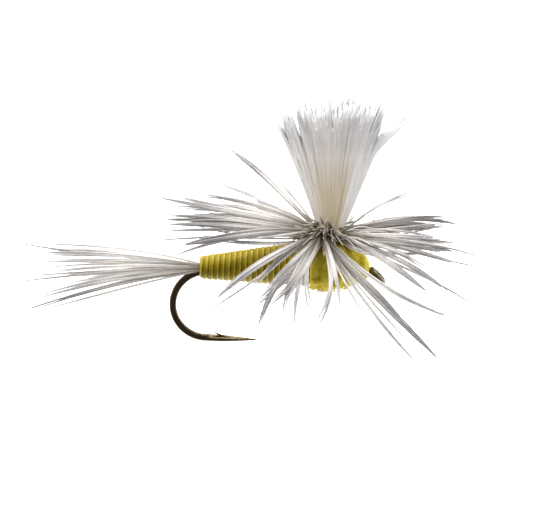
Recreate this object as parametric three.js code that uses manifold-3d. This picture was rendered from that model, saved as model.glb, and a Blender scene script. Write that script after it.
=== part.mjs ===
// Dry fly tied parachute style, hook size 12. Millimetres, +Z up.
// The origin is the centre of the hook's eye; +X points forward out of the eye,
// the shank and the tail run back along -X, and the wing post stands up along +Z.

import * as THREE from 'three';
import { mergeVertices } from 'three/addons/utils/BufferGeometryUtils.js';
import Module from 'manifold-3d';

const wasm = await Module();
wasm.setup();

const DEGREE = Math.PI / 180;
const GAP = 0.02; // clearance between pieces that touch on the real fly
const FINEST_EDGE = 0.004; // edges shorter than this, left by a cut or a join, are closed up
const UP = new THREE.Vector3(0, 0, 1);
const ACROSS = new THREE.Vector3(0, 1, 0);

// Hook
const WIRE_RADIUS = 0.25;
const SHANK_HEIGHT = 0.31; // shank axis above the eye's centre
const SHANK_FRONT_X = -0.5;
const BEND_RADIUS = 2.3; // half the gape, to the wire's axis
const BEND_X = -11.44; // where the straight shank turns into the bend
const POINT_X = -8.05;
const POINT_DROP = 0.16; // the point sits this far below the bend's lowest line
const SPEAR_TAPER_LENGTH = 2.4;
const POINT_BARB_LENGTH = 0.75;
const POINT_BARB_LIFT = 0.37; // its tip stands this high over the spear
const POINT_BARB_X = -10.45; // where it leaves the spear
const POINT_BARB_RADIUS = 0.12; // at its root
const EYE_RADIUS = 0.57; // to the wire's axis
const EYE_WIRE_RADIUS = 0.21;
const EYE_DROOP = 48 * DEGREE; // how far the eye is turned down from the shank's line
const FORGED_HALF_WIDTH = 0.2; // the bend is pressed flat to this on both sides
const FORGED_FRONT_X = -12.3;
const REACH = 8; // longer than anything that is cut, for cutting tools

// Body
const BODY_REAR_X = -11.9;
const ABDOMEN_FRONT_X = -4.48;
const BODY_REAR_RADIUS = 0.78;
const BODY_FRONT_RADIUS = 1.52;
const BODY_REAR_HEIGHT = 0.59;
const BODY_FRONT_HEIGHT = 0.84;
const RIB_COUNT = 20;
const RIB_DEPTH = 0.06;
const ABDOMEN_WALL = 0.08;
const UNDERBODY_REAR_X = -10.55;
const THORAX_FRONT_X = -0.95;
const THORAX_RADIUS = 1.64;
const THORAX_REAR_HEIGHT = 0.81;
const THORAX_FRONT_HEIGHT = 0.56;
const THORAX_END_RADIUS = 0.48;
const THORAX_SWELL_END = 0.45; // share of its length after which it closes in
const THORAX_LUMP = 0.07;
const THORAX_LUMPS = 4.5;
const BODY_SIDES = 14; // flats round the body's solids
const THREAD_RADIUS = 0.33; // outside of the thread laid on the shank
const HEAD_REAR_RADIUS = 0.46;
const HEAD_FRONT_RADIUS = 0.36;
const HEAD_FRONT_X = -0.8;
const WHIP_FINISH_LENGTH = 0.1;

// Tail
const TAIL_ROWS = [6, 5, 4]; // fibres side by side in each row, from the shank up
const TAIL_SPACING = 0.14;
const TAIL_BUTT_X = -11.5;
const TAIL_LENGTH = 11.6;
const TAIL_FIBRE_RADIUS = 0.058;
const TAIL_UNEVENNESS = 0.7; // a fibre may be this much longer or shorter
const TAIL_DROP = 1.1; // the middle of the tips lies this far below the bundle
const TAIL_FAN_HALF_HEIGHT = 2.02;
const TAIL_FAN_HALF_WIDTH = 2.35;
const TAIL_FAN_TILT = 0.75; // the far side's tips stand this much higher than the middle ones

// Wing post and hackle
const POST_LEAN = 9.5 * DEGREE; // forward lean of the post and of the hackle wound on it
const POST_FOOT = new THREE.Vector3(-3.65, 0, 0.7);
const POST_RADIUS = 0.6;
const POST_WRAP_THICKNESS = 0.1;
const POST_WRAP_TOP = 2.75; // along the leaning post, from its foot
const POST_LOCKS = 12;
const POST_FAN_HALF_ANGLE = 24 * DEGREE;
const POST_FAN_HALF_DEPTH = 1.47; // of the locks' middles at the top, near side to far side
const POST_HAIR_LENGTH = 8.4; // above the wraps
const POST_EDGE_SHORTER = 0.9;
const POST_HAIR_UNEVENNESS = 0.7;
const POST_LOCK_FOOT_RADIUS = 0.36;
const POST_LOCK_RADIUS = 0.85;
const QUILL_RADIUS = 0.085;
const QUILL_TURNS = 4;
const QUILL_PITCH = 0.19;
const QUILL_START = 1.85; // lowest turn, along the leaning post
const HACKLE_TUFTS = 24;
const BARBS_IN_TUFT = 3;
const TUFT_SPREAD = 5 * DEGREE; // sideways, from one barb of a tuft to the next
const TUFT_SLANT = 7 * DEGREE; // upwards, from one barb of a tuft to the next
const HACKLE_ROOT_RADIUS = 1.06;
const KNOT_RADIUS = 0.15; // where the barbs of a tuft leave the quill
const TUFT_LEVEL = 0.25; // neighbouring tufts start this much higher, in threes
const BARB_RADIUS = 0.07;
const REAR_BARB_LENGTH = 10.2;
const FRONT_BARB_LENGTH = 8.8;
const SIDE_BARB_LENGTH = 9.2;

// Repeatable numbers between 0 and 1, so that every build is the same.
let seed = 12;
function random() {
  seed = (seed * 16807) % 2147483647;
  return seed / 2147483647;
}

function spread(amount) {
  return (random() * 2 - 1) * amount;
}

// Leaves only positions, joins equal corners and drops triangles without area.
function weld(geometry) {
  geometry.deleteAttribute('normal');
  geometry.deleteAttribute('uv');
  const merged = mergeVertices(geometry, 1e-4);
  const corners = merged.index.array;
  const kept = [];
  for (let i = 0; i < corners.length; i += 3) {
    const [a, b, c] = corners.slice(i, i + 3);
    if (a !== b && b !== c && c !== a) {
      kept.push(a, b, c);
    }
  }
  merged.setIndex(kept);
  return merged;
}

function signedVolume(geometry) {
  const p = geometry.attributes.position;
  const [a, b, c] = [new THREE.Vector3(), new THREE.Vector3(), new THREE.Vector3()];
  let volume = 0;
  for (let i = 0; i < geometry.index.count; i += 3) {
    a.fromBufferAttribute(p, geometry.index.getX(i));
    b.fromBufferAttribute(p, geometry.index.getX(i + 1));
    c.fromBufferAttribute(p, geometry.index.getX(i + 2));
    volume += a.dot(b.cross(c)) / 6;
  }
  return volume;
}

function faceOutwards(geometry) {
  if (signedVolume(geometry) < 0) {
    geometry.setIndex([...geometry.index.array].reverse());
  }
  return geometry;
}

function toSolid(geometry) {
  const closed = faceOutwards(weld(geometry));
  return new wasm.Manifold(new wasm.Mesh({
    numProp: 3,
    vertProperties: new Float32Array(closed.attributes.position.array),
    triVerts: new Uint32Array(closed.index.array),
  }));
}

function toGeometry(solid) {
  const mesh = solid.simplify(FINEST_EDGE).getMesh();
  const geometry = new THREE.BufferGeometry();
  geometry.setAttribute('position', new THREE.BufferAttribute(mesh.vertProperties, 3));
  geometry.setIndex(new THREE.BufferAttribute(mesh.triVerts, 1));
  return geometry;
}

function joined(geometries) {
  return geometries.map(toSolid).reduce((all, next) => all.add(next));
}

// Evenly spaced places from 0 to 1.
function even(steps) {
  return Array.from({ length: steps + 1 }, (_, i) => i / steps);
}

// A closed round body whose axis follows the curve. radius(t) is its size at each of the
// stations, which run from 0 to 1 along the way. The section's first side points away from
// the reference direction.
function sweep(curve, stations, sides, radius, reference = UP) {
  const profile = stations.map((t, i) => new THREE.Vector2(radius(t), i));
  profile.unshift(new THREE.Vector2(0, 0));
  profile.push(new THREE.Vector2(0, stations.length - 1));
  const geometry = new THREE.LatheGeometry(profile, sides);
  const position = geometry.attributes.position;
  const frames = stations.map((t) => {
    const point = curve.getPointAt(t);
    const across = curve.getTangentAt(t).cross(reference).normalize();
    const upward = new THREE.Vector3().crossVectors(across, curve.getTangentAt(t));
    return { point, across, upward };
  });
  for (let i = 0; i < position.count; i += 1) {
    const { point, across, upward } = frames[Math.round(position.getY(i))];
    const place = point.clone();
    place.addScaledVector(across, position.getX(i));
    place.addScaledVector(upward, position.getZ(i));
    position.setXYZ(i, place.x, place.y, place.z);
  }
  return faceOutwards(weld(geometry));
}

function smooth(points) {
  return new THREE.CatmullRomCurve3(points, false, 'centripetal');
}

function straight(from, to) {
  return new THREE.LineCurve3(from, to);
}

function alongShank(fromX, toX, height = SHANK_HEIGHT) {
  return straight(new THREE.Vector3(fromX, 0, height), new THREE.Vector3(toX, 0, height));
}

function rod(line, sides, radius, reference = UP) {
  return sweep(line, even(1), sides, () => radius, reference);
}

// A plain sleeve round the shank.
function sleeve(fromX, toX, innerRadius, outerRadius, height, sides = 20) {
  const outside = toSolid(rod(alongShank(fromX, toX, height), sides, outerRadius));
  const inside = toSolid(rod(alongShank(fromX - 1, toX + 1, height), sides, innerRadius));
  return toGeometry(outside.subtract(inside));
}

function box(from, to) {
  const size = new THREE.Vector3().subVectors(to, from);
  const geometry = new THREE.BoxGeometry(size.x, size.y, size.z);
  const middle = new THREE.Vector3().addVectors(from, to).multiplyScalar(0.5);
  return geometry.translate(middle.x, middle.y, middle.z);
}

// The stretch of a solid between two upright planes across the shank.
function between(solid, fromX, toX) {
  const slab = box(new THREE.Vector3(fromX, -REACH, -REACH), new THREE.Vector3(toX, REACH, REACH));
  return solid.intersect(toSolid(slab));
}

// ---------------------------------------------------------------- hook

// The wire's axis: straight shank, half-round bend, then the spear to the point.
class HookAxis extends THREE.Curve {
  constructor() {
    super();
    this.shank = SHANK_FRONT_X - BEND_X;
    this.bend = Math.PI * BEND_RADIUS;
    this.spear = Math.hypot(POINT_X - BEND_X, POINT_DROP);
    this.total = this.shank + this.bend + this.spear;
  }

  getPoint(t, target = new THREE.Vector3()) {
    const along = t * this.total;
    if (along <= this.shank) {
      return target.set(SHANK_FRONT_X - along, 0, SHANK_HEIGHT);
    }
    const bottom = SHANK_HEIGHT - 2 * BEND_RADIUS;
    if (along <= this.shank + this.bend) {
      const angle = (along - this.shank) / BEND_RADIUS;
      const x = BEND_X - BEND_RADIUS * Math.sin(angle);
      return target.set(x, 0, bottom + BEND_RADIUS * (1 + Math.cos(angle)));
    }
    const share = (along - this.shank - this.bend) / this.spear;
    const x = THREE.MathUtils.lerp(BEND_X, POINT_X, share);
    return target.set(x, 0, bottom - POINT_DROP * share);
  }
}

function hookWire() {
  const axis = new HookAxis();
  axis.arcLengthDivisions = 2000;
  const bendStart = axis.shank / axis.total;
  const bendEnd = (axis.shank + axis.bend) / axis.total;
  const within = (from, to, steps) => even(steps).map((t) => THREE.MathUtils.lerp(from, to, t));
  const stations = [0, ...within(bendStart, bendEnd, 16), ...within(bendEnd, 1, 9).slice(1)];
  const taperStart = 1 - SPEAR_TAPER_LENGTH / axis.total;
  const radius = (t) => {
    const towardsPoint = Math.max(0, (t - taperStart) / (1 - taperStart));
    return WIRE_RADIUS * Math.sqrt(1 - towardsPoint) * (1 - 0.3 * towardsPoint);
  };
  return sweep(axis, stations, 12, radius, ACROSS);
}

function hookEye() {
  const ring = new THREE.TorusGeometry(EYE_RADIUS, EYE_WIRE_RADIUS, 10, 22);
  return ring.rotateY(EYE_DROOP);
}

// A thin slice raised from the top of the spear, pointing back towards the bend.
function hookBarb() {
  const spearTop = SHANK_HEIGHT - 2 * BEND_RADIUS + WIRE_RADIUS;
  const buried = 0.16;
  const root = new THREE.Vector3(POINT_BARB_X + 2 * buried, 0, spearTop - buried);
  const middle = new THREE.Vector3(POINT_BARB_X - POINT_BARB_LENGTH / 2, 0, spearTop + POINT_BARB_LIFT / 5);
  const tip = new THREE.Vector3(POINT_BARB_X - POINT_BARB_LENGTH, 0, spearTop + POINT_BARB_LIFT);
  const radius = (t) => POINT_BARB_RADIUS * (1 - t);
  return sweep(smooth([root, middle, tip]), even(5), 6, radius, ACROSS);
}

function hook() {
  const wire = joined([hookWire(), hookEye(), hookBarb()]);
  const rear = FORGED_FRONT_X - REACH;
  const farSide = box(
    new THREE.Vector3(rear, FORGED_HALF_WIDTH, -REACH),
    new THREE.Vector3(FORGED_FRONT_X, REACH, REACH),
  );
  const nearSide = box(
    new THREE.Vector3(rear, -REACH, -REACH),
    new THREE.Vector3(FORGED_FRONT_X, -FORGED_HALF_WIDTH, REACH),
  );
  return toGeometry(wire.subtract(toSolid(farSide)).subtract(toSolid(nearSide)));
}

// ---------------------------------------------------------------- body

function bodyAt(x) {
  const t = (x - BODY_REAR_X) / (ABDOMEN_FRONT_X - BODY_REAR_X);
  const swell = Math.sin(t * Math.PI * 0.5) * 0.35 + t * 0.65;
  return {
    radius: THREE.MathUtils.lerp(BODY_REAR_RADIUS, BODY_FRONT_RADIUS, swell),
    height: THREE.MathUtils.lerp(BODY_REAR_HEIGHT, BODY_FRONT_HEIGHT, t),
  };
}

function bodyAxis(fromX, toX) {
  return straight(
    new THREE.Vector3(fromX, 0, bodyAt(fromX).height),
    new THREE.Vector3(toX, 0, bodyAt(toX).height),
  );
}

// The body's own shape, drawn in by the given amount on every side.
function bodyShape(fromX, toX, inset, steps, sides) {
  const radius = (t) => bodyAt(THREE.MathUtils.lerp(fromX, toX, t)).radius - inset;
  return sweep(bodyAxis(fromX, toX), even(steps), sides, radius);
}

function abdomenWrap() {
  const stepsPerRib = 3;
  const radius = (t) => {
    const x = THREE.MathUtils.lerp(BODY_REAR_X, ABDOMEN_FRONT_X, t);
    const onRib = Math.abs(Math.sin(t * RIB_COUNT * Math.PI));
    return bodyAt(x).radius - RIB_DEPTH * (1 - onRib);
  };
  const axis = bodyAxis(BODY_REAR_X, ABDOMEN_FRONT_X);
  const outside = toSolid(sweep(axis, even(RIB_COUNT * stepsPerRib), BODY_SIDES, radius));
  const inset = ABDOMEN_WALL + RIB_DEPTH;
  const inside = bodyShape(BODY_REAR_X - 0.2, ABDOMEN_FRONT_X + 0.2, inset, 4, BODY_SIDES);
  const shell = outside.subtract(toSolid(inside));
  return toGeometry(between(shell, BODY_REAR_X - 1, ABDOMEN_FRONT_X - GAP));
}

function underbody() {
  const inset = ABDOMEN_WALL + RIB_DEPTH + GAP;
  const outside = bodyShape(UNDERBODY_REAR_X, ABDOMEN_FRONT_X + 0.2, inset, 4, BODY_SIDES);
  const wireHole = rod(alongShank(-12, -3), 12, WIRE_RADIUS + GAP);
  const padding = toSolid(outside).subtract(toSolid(wireHole));
  return toGeometry(between(padding, UNDERBODY_REAR_X - 1, ABDOMEN_FRONT_X - GAP));
}

function tailLashing() {
  const outer = BODY_REAR_RADIUS - ABDOMEN_WALL - RIB_DEPTH - GAP;
  return sleeve(BODY_REAR_X + 0.03, UNDERBODY_REAR_X - 0.05, outer - 0.05, outer, BODY_REAR_HEIGHT);
}

function threadBase() {
  return sleeve(ABDOMEN_FRONT_X + GAP, THORAX_FRONT_X, WIRE_RADIUS + GAP, THREAD_RADIUS, SHANK_HEIGHT, 14);
}

// A soft barrel that swells behind the head and closes in to the head's size.
function thorax() {
  const radius = (t) => {
    const pastSwell = Math.max(0, (t - THORAX_SWELL_END) / (1 - THORAX_SWELL_END));
    const closing = Math.sqrt(Math.max(0, 1 - pastSwell ** 2.4));
    const lumps = THORAX_LUMP * Math.sin(t * THORAX_LUMPS * 2 * Math.PI);
    return THORAX_END_RADIUS + (THORAX_RADIUS - THORAX_END_RADIUS + lumps) * closing;
  };
  const axis = straight(
    new THREE.Vector3(ABDOMEN_FRONT_X - 0.3, 0, THORAX_REAR_HEIGHT),
    new THREE.Vector3(THORAX_FRONT_X, 0, THORAX_FRONT_HEIGHT),
  );
  const barrel = toSolid(sweep(axis, even(20), BODY_SIDES, radius));
  const outside = between(barrel, ABDOMEN_FRONT_X + GAP, THORAX_FRONT_X);
  const shankHole = toSolid(rod(alongShank(-5, 0), 12, THREAD_RADIUS + GAP));
  const clear = POST_RADIUS + POST_WRAP_THICKNESS + 2 * GAP;
  const postHole = new THREE.CylinderGeometry(clear, clear, REACH, 16);
  postHole.rotateX(90 * DEGREE).translate(0, 0, REACH / 2 - GAP).applyMatrix4(postFrame());
  return toGeometry(outside.subtract(shankHole).subtract(toSolid(postHole)));
}

function headWraps() {
  const profile = (t) => THREE.MathUtils.lerp(HEAD_REAR_RADIUS, HEAD_FRONT_RADIUS, t);
  const outside = toSolid(sweep(alongShank(THORAX_FRONT_X + GAP, HEAD_FRONT_X), even(3), 12, profile));
  const inside = toSolid(rod(alongShank(-3, 0), 12, WIRE_RADIUS + GAP));
  return toGeometry(outside.subtract(inside));
}

function whipFinish() {
  const rear = HEAD_FRONT_X + GAP;
  return sleeve(rear, rear + WHIP_FINISH_LENGTH, WIRE_RADIUS + GAP, THREAD_RADIUS, SHANK_HEIGHT, 16);
}

// ---------------------------------------------------------------- tail

// Where each fibre lies in the bundle, as offsets across and up from the bundle's middle.
function tailSeats() {
  const seats = [];
  TAIL_ROWS.forEach((count, row) => {
    for (let i = 0; i < count; i += 1) {
      const across = (i - (count - 1) / 2) * TAIL_SPACING;
      const up = (row - (TAIL_ROWS.length - 1) / 2) * TAIL_SPACING * 0.95;
      seats.push({ across, up });
    }
  });
  return seats;
}

function tailFibre(seat) {
  const bundleZ = SHANK_HEIGHT + WIRE_RADIUS + GAP + TAIL_FIBRE_RADIUS + TAIL_SPACING;
  const rise = seat.up / TAIL_SPACING; // -1 to 1, from the lowest row to the highest
  const turn = seat.across / (TAIL_SPACING * 2.5); // -1 to 1, from the near side to the far side
  const tipX = TAIL_BUTT_X - TAIL_LENGTH - spread(TAIL_UNEVENNESS);
  const tipZ = bundleZ - TAIL_DROP + rise * TAIL_FAN_HALF_HEIGHT + turn * TAIL_FAN_TILT;
  const tipY = turn * TAIL_FAN_HALF_WIDTH;
  const at = (share, fan) => new THREE.Vector3(
    THREE.MathUtils.lerp(TAIL_BUTT_X, tipX, share),
    THREE.MathUtils.lerp(seat.across, tipY, fan),
    THREE.MathUtils.lerp(bundleZ + seat.up, tipZ, fan),
  );
  const route = smooth([at(0, 0), at(0.12, 0.01), at(0.4, 0.27), at(0.72, 0.66), at(1, 1)]);
  const radius = (t) => {
    const body = TAIL_FIBRE_RADIUS + 0.035 * Math.sin(Math.min(1, t * 1.4) * Math.PI);
    return body * (1 - t ** 4);
  };
  return sweep(route, even(7), 5, radius);
}

// ---------------------------------------------------------------- wing post

// The leaning frame of the post: its own z runs up the post from the foot.
function postFrame() {
  const frame = new THREE.Matrix4().makeRotationY(POST_LEAN);
  return frame.setPosition(POST_FOOT);
}

function onPost(x, y, z) {
  return new THREE.Vector3(x, y, z).applyMatrix4(postFrame());
}

function postLock(index) {
  const turn = (index / (POST_LOCKS - 1)) * 2 - 1; // -1 at the rear edge, 1 at the front edge
  const layer = (index % 3) - 1; // near, middle or far side of the fan
  const lean = turn * POST_FAN_HALF_ANGLE;
  const height = POST_HAIR_LENGTH - Math.abs(turn) * POST_EDGE_SHORTER + spread(POST_HAIR_UNEVENNESS);
  const top = onPost(0, 0, POST_WRAP_TOP + 0.3);
  const at = (share) => new THREE.Vector3(
    top.x + height * share * Math.tan(lean) * (0.75 + 0.25 * share),
    layer * THREE.MathUtils.lerp(0.12, POST_FAN_HALF_DEPTH, share),
    top.z + height * share,
  );
  const route = smooth([onPost(turn * 0.2, layer * 0.15, POST_WRAP_TOP - 1), at(0.02), at(0.4), at(1)]);
  const radius = (t) => {
    const body = THREE.MathUtils.lerp(POST_LOCK_FOOT_RADIUS, POST_LOCK_RADIUS, Math.min(1, t * 1.5));
    return body * Math.sqrt(1 - t ** 3);
  };
  return sweep(route, even(5), 7, radius, ACROSS);
}

function wingPost() {
  const axis = straight(onPost(0, 0, GAP), onPost(0, 0, POST_WRAP_TOP + 0.25));
  const core = rod(axis, 16, POST_RADIUS - GAP, ACROSS);
  const locks = [];
  for (let i = 0; i < POST_LOCKS; i += 1) {
    locks.push(postLock(i));
  }
  const hair = joined(locks);
  const below = new THREE.CylinderGeometry(2, 2, POST_WRAP_TOP, 12);
  below.rotateX(90 * DEGREE).translate(0, 0, POST_WRAP_TOP / 2).applyMatrix4(postFrame());
  return toGeometry(hair.subtract(toSolid(below)).add(toSolid(core)));
}

function postBaseWraps() {
  const axis = straight(onPost(0, 0, GAP), onPost(0, 0, POST_WRAP_TOP - GAP));
  const longer = straight(onPost(0, 0, -1), onPost(0, 0, POST_WRAP_TOP + 1));
  const outside = toSolid(rod(axis, 16, POST_RADIUS + POST_WRAP_THICKNESS, ACROSS));
  return toGeometry(outside.subtract(toSolid(rod(longer, 16, POST_RADIUS, ACROSS))));
}

// ---------------------------------------------------------------- hackle

// The feather's quill, wound round the base of the post.
function hackleStem() {
  const coilRadius = POST_RADIUS + POST_WRAP_THICKNESS + GAP + QUILL_RADIUS;
  const points = [];
  const pointsPerTurn = 12;
  for (let i = 0; i <= QUILL_TURNS * pointsPerTurn; i += 1) {
    const angle = (i / pointsPerTurn) * 2 * Math.PI;
    const height = QUILL_START + (i / pointsPerTurn) * QUILL_PITCH;
    points.push(onPost(coilRadius * Math.cos(angle), coilRadius * Math.sin(angle), height));
  }
  const radius = (t) => QUILL_RADIUS * (1 - 0.35 * t);
  return sweep(smooth(points), even(QUILL_TURNS * pointsPerTurn), 5, radius);
}

// Length and droop of the barbs that leave the post at the given angle:
// 0 is forward, a quarter turn is the far side and half a turn is the rear.
function barbStyle(angle) {
  const forward = Math.cos(angle);
  const sideways = Math.abs(Math.sin(angle));
  const endLength = forward > 0 ? FRONT_BARB_LENGTH : REAR_BARB_LENGTH;
  return {
    length: THREE.MathUtils.lerp(endLength, SIDE_BARB_LENGTH, sideways),
    droop: (5 + 15 * sideways) * DEGREE,
  };
}

// Three barbs that spring from one knot on the quill and spread sideways and upwards.
function hackleTuft(index) {
  const middle = (index / HACKLE_TUFTS) * 2 * Math.PI;
  const rootHeight = QUILL_START + 0.1 + (index % 3) * TUFT_LEVEL;
  const slant = index % 2 ? 1 : -1;
  const root = (out, sideways, upwards) => onPost(
    out * Math.cos(middle) - sideways * Math.sin(middle),
    out * Math.sin(middle) + sideways * Math.cos(middle),
    rootHeight + upwards,
  );
  const knot = new THREE.IcosahedronGeometry(KNOT_RADIUS);
  const parts = [knot.translate(...root(HACKLE_ROOT_RADIUS, 0, 0))];
  for (let i = 0; i < BARBS_IN_TUFT; i += 1) {
    const side = i - (BARBS_IN_TUFT - 1) / 2;
    const angle = middle + side * TUFT_SPREAD;
    const style = barbStyle(angle);
    const length = style.length * (1 + spread(0.09)) - HACKLE_ROOT_RADIUS;
    const droop = style.droop - side * slant * TUFT_SLANT;
    const at = (share, fall) => {
      const out = HACKLE_ROOT_RADIUS + length * share * Math.cos(droop);
      const height = rootHeight - length * (share * Math.sin(droop) + fall);
      return onPost(out * Math.cos(angle), out * Math.sin(angle), height);
    };
    const start = root(HACKLE_ROOT_RADIUS, side * 0.08, side * slant * 0.05);
    const route = smooth([start, at(0.35, 0), at(1, 0.035)]);
    const radius = (t) => BARB_RADIUS * (1 - t ** 2.5) * (0.65 + 0.65 * Math.sin(t * Math.PI));
    parts.push(sweep(route, even(5), 4, radius));
  }
  return toGeometry(joined(parts));
}

// ---------------------------------------------------------------- assembly

const FINISHES = {
  bronze: { color: 0x3a2c14, roughness: 0.32, metalness: 0.9 },
  thread: { color: 0xd8c257, roughness: 0.7, metalness: 0 },
  quill: { color: 0xc9b43a, roughness: 0.55, metalness: 0 },
  floss: { color: 0xdccb70, roughness: 0.8, metalness: 0 },
  fibre: { color: 0xa9a4a0, roughness: 0.6, metalness: 0 },
  stem: { color: 0x4e4436, roughness: 0.5, metalness: 0 },
  hair: { color: 0xeeebe6, roughness: 0.75, metalness: 0 },
};

const fly = new THREE.Group();

function add(name, finish, geometry) {
  const mesh = new THREE.Mesh(geometry, new THREE.MeshStandardMaterial(FINISHES[finish]));
  mesh.name = name;
  fly.add(mesh);
}

function numbered(name, index) {
  return `${name}_${String(index + 1).padStart(2, '0')}`;
}

add('hook', 'bronze', hook());
add('thread_base', 'thread', threadBase());
add('tail_lashing', 'thread', tailLashing());
tailSeats().forEach((seat, i) => add(numbered('tail_fibre', i), 'fibre', tailFibre(seat)));
add('underbody', 'floss', underbody());
add('abdomen_wrap', 'quill', abdomenWrap());
add('thorax_dubbing', 'floss', thorax());
add('wing_post', 'hair', wingPost());
add('post_base_wraps', 'thread', postBaseWraps());
add('hackle_stem', 'stem', hackleStem());
for (let i = 0; i < HACKLE_TUFTS; i += 1) {
  add(numbered('hackle_barbs', i), 'fibre', hackleTuft(i));
}
add('head_wraps', 'thread', headWraps());
add('whip_finish', 'thread', whipFinish());

export default fly;
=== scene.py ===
"""A parachute dry fly: bronze hook, grey fibre tail, ribbed yellow abdomen, dubbed
thorax, white hair post and a grey hackle wound flat round the foot of the post.

X runs along the shank, out of the hook's eye, which is the origin, and Z is up. Shapes
are worked out in millimetres and become metres when a mesh is made."""

import math
import random

import bpy
import numpy as np
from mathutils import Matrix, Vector

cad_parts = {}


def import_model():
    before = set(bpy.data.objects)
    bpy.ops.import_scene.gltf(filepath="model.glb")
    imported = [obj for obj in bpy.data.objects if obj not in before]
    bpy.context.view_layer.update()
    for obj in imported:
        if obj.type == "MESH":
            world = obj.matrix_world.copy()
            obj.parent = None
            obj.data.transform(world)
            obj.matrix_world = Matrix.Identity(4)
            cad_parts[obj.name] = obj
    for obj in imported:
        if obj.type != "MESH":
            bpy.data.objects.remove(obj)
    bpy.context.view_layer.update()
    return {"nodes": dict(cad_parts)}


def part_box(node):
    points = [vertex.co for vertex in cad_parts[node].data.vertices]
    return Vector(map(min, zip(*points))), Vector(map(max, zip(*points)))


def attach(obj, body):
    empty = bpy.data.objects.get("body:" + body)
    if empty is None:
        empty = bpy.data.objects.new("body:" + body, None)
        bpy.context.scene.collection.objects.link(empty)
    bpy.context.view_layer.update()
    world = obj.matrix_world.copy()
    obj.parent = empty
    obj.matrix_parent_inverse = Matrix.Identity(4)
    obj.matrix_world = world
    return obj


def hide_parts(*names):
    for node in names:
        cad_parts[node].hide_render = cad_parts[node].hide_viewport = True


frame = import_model()

MM = 0.001
CAMERA_RISE = math.radians(14)
# the direction that the camera looks in
VIEW = np.array([0, math.cos(CAMERA_RISE), -math.sin(CAMERA_RISE)])

# ------------------------------------------------------------------ the frame's places


def low(node):
    return np.array(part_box(node)[0]) / MM


def high(node):
    return np.array(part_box(node)[1]) / MM


def middle(node):
    return (low(node) + high(node)) / 2


SHANK_Z = float(middle("thread_base")[2])
ABDOMEN_REAR = float(low("abdomen_wrap")[0])
ABDOMEN_FRONT = float(high("abdomen_wrap")[0])
THORAX_REAR = float(low("thorax_dubbing")[0])
THORAX_FRONT = float(high("thorax_dubbing")[0])
HUB = middle("hackle_stem")


# ------------------------------------------------------------------ mesh building


def unit(v):
    return v / np.linalg.norm(v)


def smoothstep(a, b, x):
    t = np.clip((x - a) / (b - a), 0.0, 1.0)
    return t * t * (3 - 2 * t)


def circle(count):
    """count angles, evenly spaced all the way round."""
    return np.arange(count) / count * 2 * math.pi


def ring_frames(points):
    """Two directions across a path at each of its points, carried along without twist."""
    tangents = np.gradient(points, axis=0)
    tangents /= np.linalg.norm(tangents, axis=1)[:, None]
    side = np.cross(tangents[0], [0.0, 0.0, 1.0])
    if np.linalg.norm(side) < 0.1:
        side = np.cross(tangents[0], [0.0, 1.0, 0.0])
    normals = []
    for tangent in tangents:
        side = unit(side - tangent * np.dot(side, tangent))
        normals.append(side)
    normals = np.array(normals)
    return normals, np.cross(tangents, normals)


def grid_faces(rows, columns):
    """Faces of a tube made of rows rings with columns points each, with closed ends."""
    faces = [tuple(range(columns))[::-1]]
    for i in range(rows - 1):
        a, b = i * columns, (i + 1) * columns
        for j in range(columns):
            k = (j + 1) % columns
            faces.append((a + j, a + k, b + k, b + j))
    faces.append(tuple(range((rows - 1) * columns, rows * columns)))
    return faces


def bent(points, count):
    """A smooth path of count points through the given ones (centripetal Catmull-Rom)."""
    p = np.asarray(points, float)
    p = np.vstack([2 * p[0] - p[1], p, 2 * p[-1] - p[-2]])
    chords = np.linalg.norm(np.diff(p, axis=0), axis=1)
    knots = np.concatenate([[0], np.cumsum(chords**0.5)])
    out = []
    for u in np.linspace(knots[1], knots[-2] - 1e-9, count):
        i = int(np.searchsorted(knots, u, side="right")) - 1
        i = min(max(i, 1), len(p) - 3)
        t = knots[i - 1 : i + 3]
        level = p[i - 1 : i + 3]
        for span in (1, 2):
            level = [
                ((t[j + span] - u) * level[j] + (u - t[j]) * level[j + 1]) / (t[j + span] - t[j])
                for j in range(4 - span)
            ]
        out.append(((t[2] - u) * level[0] + (u - t[1]) * level[1]) / (t[2] - t[1]))
    return np.array(out)


class Batch:
    """Many closed strands gathered into one mesh, in millimetres. Each point keeps how
    far along its strand it lies and the strand's own shade, for the material."""

    def __init__(self):
        self.points = []
        self.faces = []
        self.along = []
        self.shade = []
        self.count = 0

    def add(self, points, faces, along, shade):
        self.points.append(points)
        self.faces.extend(tuple(self.count + i for i in f) for f in faces)
        self.along.append(along)
        self.shade.append(shade)
        self.count += len(points)

    def strand(self, path, radii, sides=5, shade=0.5, span=(0.0, 1.0), squash=1.0):
        """A tapered strand along the path, closed at both ends. span holds the along values
        of its root and tip, and squash flattens it."""
        path = np.asarray(path, float)
        count = len(path)
        normals, binormals = ring_frames(path)
        angles = circle(sides)
        ring = (
            normals[:, None, :] * np.cos(angles)[None, :, None]
            + binormals[:, None, :] * np.sin(angles)[None, :, None] * squash
        )
        radii = np.broadcast_to(np.asarray(radii, float), count)
        points = (path[:, None, :] + ring * radii[:, None, None]).reshape(-1, 3)
        along = np.repeat(np.linspace(*span, count), sides)
        self.add(points, grid_faces(count, sides), along, np.full(count * sides, shade))

    def build(self, name, material, replaced=()):
        points = np.concatenate(self.points)
        piece = new_piece(name, points, self.faces, material, replaced)
        put_values(piece, "along", np.concatenate(self.along))
        put_values(piece, "shade", np.concatenate(self.shade))
        return piece


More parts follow.
